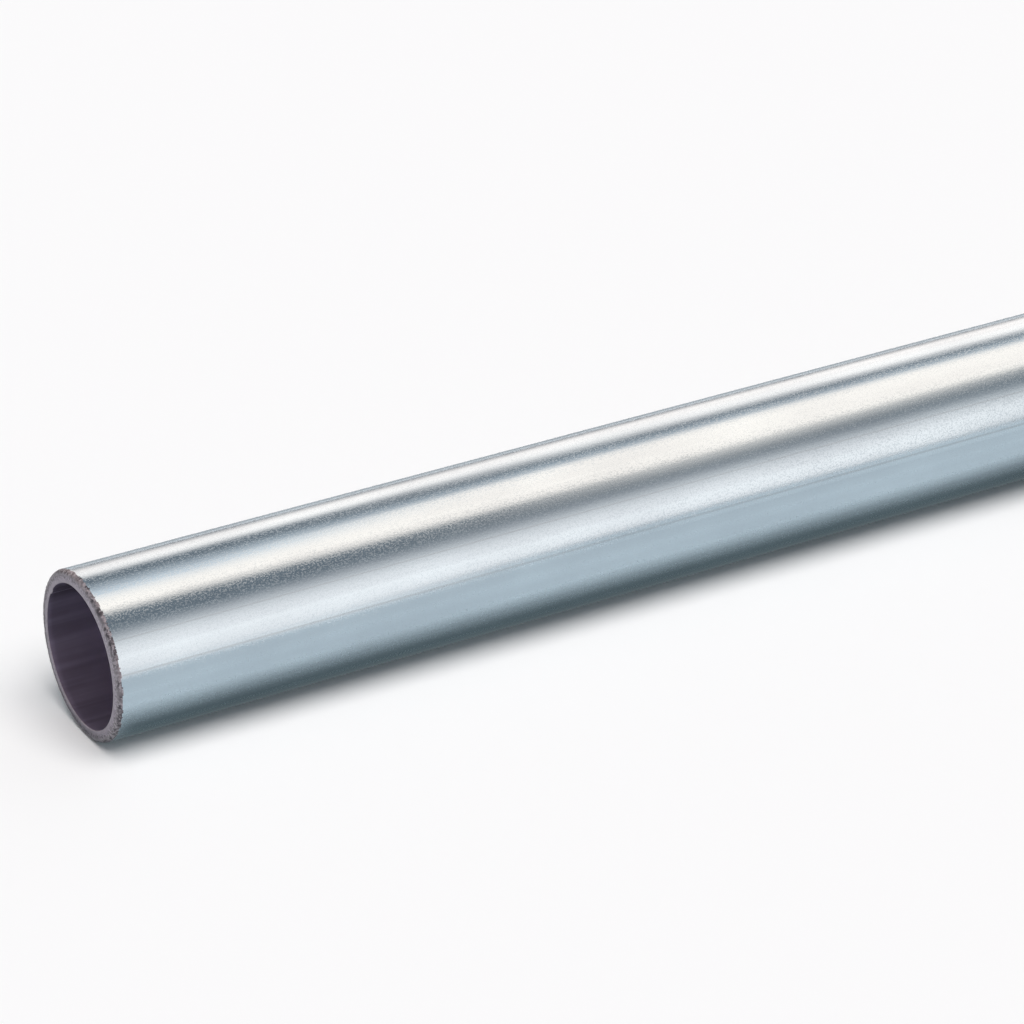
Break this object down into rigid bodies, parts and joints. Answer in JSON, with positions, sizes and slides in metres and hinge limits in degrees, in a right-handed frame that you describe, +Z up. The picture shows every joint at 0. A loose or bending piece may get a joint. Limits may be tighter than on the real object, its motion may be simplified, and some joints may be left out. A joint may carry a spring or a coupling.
{
  "type": "galvanised steel tube",
  "caption": "Round welded steel tube, zinc coated outside, with rounded sawn ends and a low weld bead along its bore.",
  "frame": {"origin": "on the tube's lowest line, half way along its length, where it rests on a level floor", "axes": "+X along the tube, +Z up as it lies, the weld seam 53 degrees from the top towards +Y"},
  "size_m": [1, 0.02, 0.02],
  "materials": {
    "galvanised_steel": "bright zinc with a fine grain outside, bare sawn steel at the ends, dark unpolished bore"
  },
  "bodies": {
    "root": {"tube": "galvanised_steel"}
  },
  "joints": []
}
